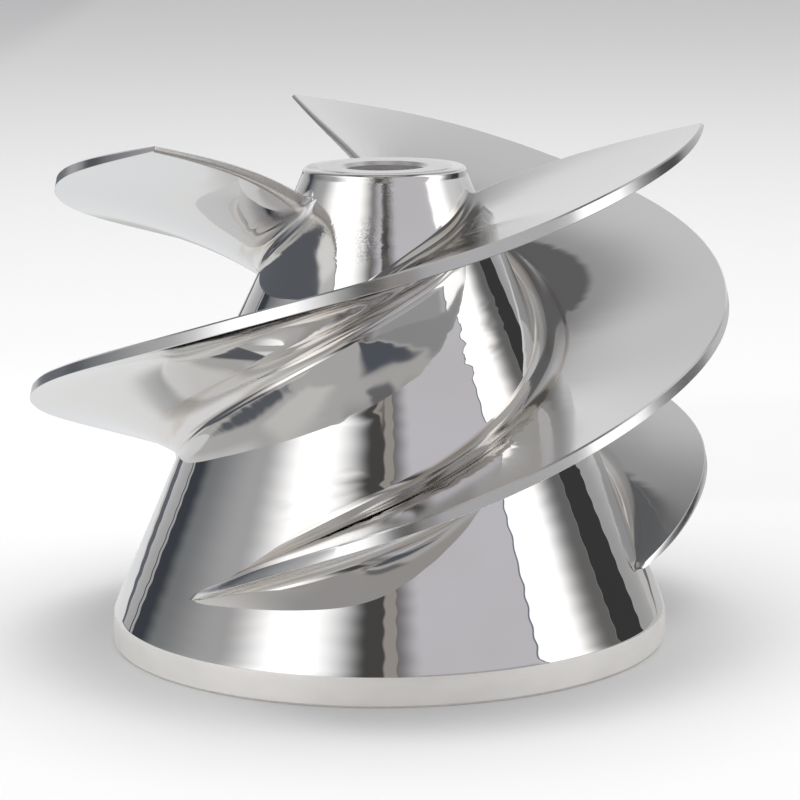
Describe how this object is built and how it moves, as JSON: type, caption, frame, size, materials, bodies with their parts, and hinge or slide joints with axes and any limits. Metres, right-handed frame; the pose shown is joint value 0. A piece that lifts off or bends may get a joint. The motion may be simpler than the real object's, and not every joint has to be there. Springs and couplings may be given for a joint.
{
  "type": "jet pump impeller",
  "caption": "Mixed-flow jet pump impeller, a polished stainless casting with a conical hub, helical blades and a plain shaft bore.",
  "frame": {"origin": "on the shaft axis, in the plane of the hub's rear face that the impeller stands on", "axes": "+Z along the shaft axis towards the intake end (nose ring); +Y towards the leading edge of the first blade, 18.6 degrees short of it"},
  "size_m": [0.1542, 0.157, 0.1152],
  "materials": {
    "polished_steel": "mirror-polished stainless casting with satin blade faces and turned blade edges and rim"
  },
  "bodies": {
    "root": {"impeller_casting": "polished_steel"}
  },
  "joints": []
}
